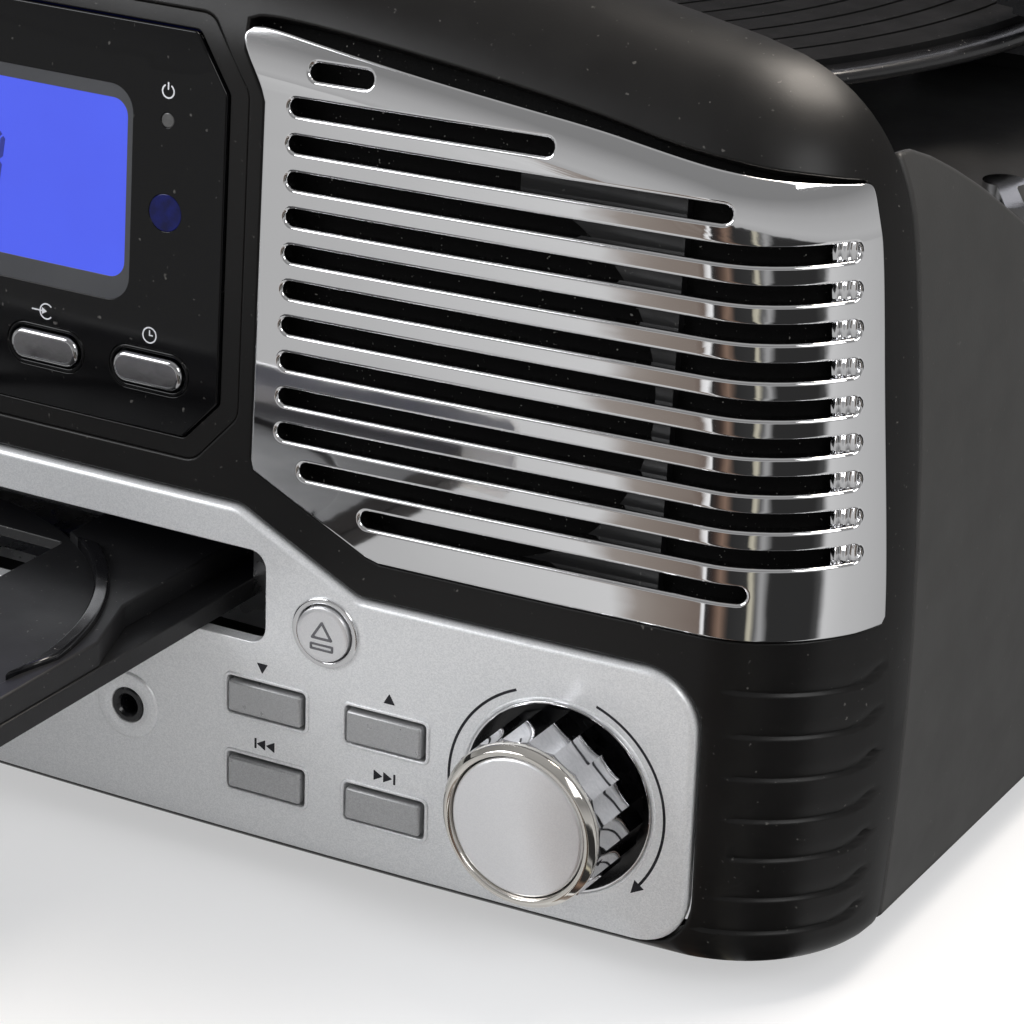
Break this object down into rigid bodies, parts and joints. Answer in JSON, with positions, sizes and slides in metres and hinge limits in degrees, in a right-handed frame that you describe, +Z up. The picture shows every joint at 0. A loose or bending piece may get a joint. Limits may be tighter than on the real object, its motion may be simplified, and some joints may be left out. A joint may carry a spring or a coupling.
{
  "type": "stereo music centre",
  "caption": "Compact stereo with a record deck under a hinged clear lid, a sliding disc tray, blue display, chrome speaker grilles and two rotary knobs.",
  "frame": {"origin": "on the surface the feet stand on, in the middle of the width, straight below the front of the cabinet at the middle of its bow", "axes": "+Z up, +Y from the front to the back, +X to the right as seen from the front"},
  "size_m": [0.368, 0.5062, 0.423],
  "materials": {
    "black_plastic": "satin, fine texture",
    "side_plastic": "satin charcoal",
    "window": "clear gloss black",
    "screen": "lit blue screen in a dark frame",
    "silver_paint": "metallic silver paint",
    "chrome_trim": "mirror chrome",
    "satin_silver": "satin",
    "key_grey": "satin grey",
    "rubber": "matte",
    "paper_cone": "matte paper cone",
    "steel": "plain",
    "brass": "turned",
    "platter_metal": "black, bright rim",
    "dark_weight": "dark satin",
    "red_plastic": "gloss",
    "board": "circuit board",
    "socket_plastic": "gloss",
    "smoked_clear": "smoked clear plastic"
  },
  "bodies": {
    "cabinet": {"fascia": "black_plastic", "lower_panel": "silver_paint", "display_window": "window", "lcd_module": "screen", "grille_right": "chrome_trim", "grille_left": "chrome_trim", "speaker_baffles": "black_plastic", "speaker_frames": "steel", "speaker_cones": "paper_cone", "side_panel_right": "side_plastic", "side_panel_left": "side_plastic", "base_plate": "black_plastic", "feet": "rubber", "rear_panel": "black_plastic", "deck_plate": "black_plastic", "pin_bearing": "brass", "platter_motor": "steel", "drive_belt": "rubber", "arm_pillar": "dark_weight", "arm_rest": "black_plastic", "cover_hinges": "black_plastic", "rotary_encoders": "steel", "button_bezels": "chrome_trim", "line_jack": "black_plastic", "usb_socket": "steel", "disc_chassis": "steel", "main_board": "board", "transformer": "steel", "rear_sockets": "socket_plastic", "power_inlet": "black_plastic", "screws": "steel"},
    "turntable": {"platter": "platter_metal", "platter_mat": "rubber", "centre_pin": "steel"},
    "pulley": {"motor_pulley": "brass"},
    "arm_base": {"arm_yoke": "satin_silver"},
    "arm": {"arm_tube": "satin_silver", "pickup_cartridge": "red_plastic", "counterweight": "dark_weight"},
    "lift_lever": {"cue_lever": "chrome_trim"},
    "speed_selector": {"speed_lever": "chrome_trim"},
    "lid": {"dust_cover": "smoked_clear"},
    "tuning": {"tuning_knob": "satin_silver", "tuning_skirt": "chrome_trim"},
    "volume": {"volume_knob": "satin_silver", "volume_skirt": "chrome_trim"},
    "tray": {"disc_tray": "black_plastic"},
    "key_preset_down_body": {"key_preset_down": "key_grey"},
    "key_preset_up_body": {"key_preset_up": "key_grey"},
    "key_skip_back_body": {"key_skip_back": "key_grey"},
    "key_skip_forward_body": {"key_skip_forward": "key_grey"},
    "key_play_body": {"key_play": "key_grey"},
    "key_stop_body": {"key_stop": "key_grey"},
    "key_program_body": {"key_program": "key_grey"},
    "key_repeat_body": {"key_repeat": "key_grey"},
    "eject_button_body": {"eject_button": "key_grey"},
    "pill_source_body": {"pill_source": "chrome_trim"},
    "pill_timer_body": {"pill_timer": "chrome_trim"},
    "pill_clock_body": {"pill_clock": "chrome_trim"},
    "pill_tone_body": {"pill_tone": "chrome_trim"}
  },
  "joints": [
    {"name": "platter_spin", "type": "hinge", "parent": "cabinet", "child": "turntable", "pos_m": [-0.002, 0.19, 0.131], "axis": [0, 0, 1], "continuous": true},
    {"name": "pulley_spin", "type": "hinge", "parent": "cabinet", "child": "pulley", "pos_m": [-0.08175, 0.15281, 0.117], "axis": [0, 0, 1], "continuous": true},
    {"name": "arm_swing", "type": "hinge", "parent": "cabinet", "child": "arm_base", "pos_m": [0.148, 0.306, 0.145], "axis": [0, 0, 1], "range_deg": [-43, 0]},
    {"name": "arm_lift", "type": "hinge", "parent": "arm_base", "child": "arm", "pos_m": [0.148, 0.306, 0.145], "axis": [-0.9994, -0.0349, 0], "range_deg": [-0.6, 6]},
    {"name": "lift_lever_turn", "type": "hinge", "parent": "cabinet", "child": "lift_lever", "pos_m": [0.156, 0.262, 0.121], "axis": [1, 0, 0], "range_deg": [-50, 12]},
    {"name": "speed_select", "type": "hinge", "parent": "cabinet", "child": "speed_selector", "pos_m": [0.158, 0.123, 0.112], "axis": [0, 0, 1], "range_deg": [-40, 0]},
    {"name": "lid_hinge", "type": "hinge", "parent": "cabinet", "child": "lid", "pos_m": [0, 0.346, 0.117], "axis": [1, 0, 0], "range_deg": [0, 72]},
    {"name": "tuning_turn", "type": "hinge", "parent": "cabinet", "child": "tuning", "pos_m": [0.1345, 0, 0.0324], "axis": [0, 1, 0], "continuous": true},
    {"name": "volume_turn", "type": "hinge", "parent": "cabinet", "child": "volume", "pos_m": [-0.1345, 0, 0.0324], "axis": [0, 1, 0], "range_deg": [-150, 150]},
    {"name": "tray_slide", "type": "slide", "parent": "cabinet", "child": "tray", "axis": [0, 1, 0], "range_m": [0, 0.115]},
    {"name": "key_preset_down_press", "type": "slide", "parent": "cabinet", "child": "key_preset_down_body", "axis": [0, 1, 0], "range_m": [0, 0.0012], "stiffness_N_per_m": 300},
    {"name": "key_preset_up_press", "type": "slide", "parent": "cabinet", "child": "key_preset_up_body", "axis": [0, 1, 0], "range_m": [0, 0.0012], "stiffness_N_per_m": 300},
    {"name": "key_skip_back_press", "type": "slide", "parent": "cabinet", "child": "key_skip_back_body", "axis": [0, 1, 0], "range_m": [0, 0.0012], "stiffness_N_per_m": 300},
    {"name": "key_skip_forward_press", "type": "slide", "parent": "cabinet", "child": "key_skip_forward_body", "axis": [0, 1, 0], "range_m": [0, 0.0012], "stiffness_N_per_m": 300},
    {"name": "key_play_press", "type": "slide", "parent": "cabinet", "child": "key_play_body", "axis": [0, 1, 0], "range_m": [0, 0.0012], "stiffness_N_per_m": 300},
    {"name": "key_stop_press", "type": "slide", "parent": "cabinet", "child": "key_stop_body", "axis": [0, 1, 0], "range_m": [0, 0.0012], "stiffness_N_per_m": 300},
    {"name": "key_program_press", "type": "slide", "parent": "cabinet", "child": "key_program_body", "axis": [0, 1, 0], "range_m": [0, 0.0012], "stiffness_N_per_m": 300},
    {"name": "key_repeat_press", "type": "slide", "parent": "cabinet", "child": "key_repeat_body", "axis": [0, 1, 0], "range_m": [0, 0.0012], "stiffness_N_per_m": 300},
    {"name": "eject_button_press", "type": "slide", "parent": "cabinet", "child": "eject_button_body", "axis": [0, 1, 0], "range_m": [0, 0.001], "stiffness_N_per_m": 300},
    {"name": "pill_source_press", "type": "slide", "parent": "cabinet", "child": "pill_source_body", "axis": [0, 1, 0], "range_m": [0, 0.0007], "stiffness_N_per_m": 300},
    {"name": "pill_timer_press", "type": "slide", "parent": "cabinet", "child": "pill_timer_body", "axis": [0, 1, 0], "range_m": [0, 0.0007], "stiffness_N_per_m": 300},
    {"name": "pill_clock_press", "type": "slide", "parent": "cabinet", "child": "pill_clock_body", "axis": [0, 1, 0], "range_m": [0, 0.0007], "stiffness_N_per_m": 300},
    {"name": "pill_tone_press", "type": "slide", "parent": "cabinet", "child": "pill_tone_body", "axis": [0, 1, 0], "range_m": [0, 0.0007], "stiffness_N_per_m": 300}
  ],
  "couplings": [
    {"joint": "pulley_spin", "follows": "platter_spin", "ratio": 10}
  ]
}
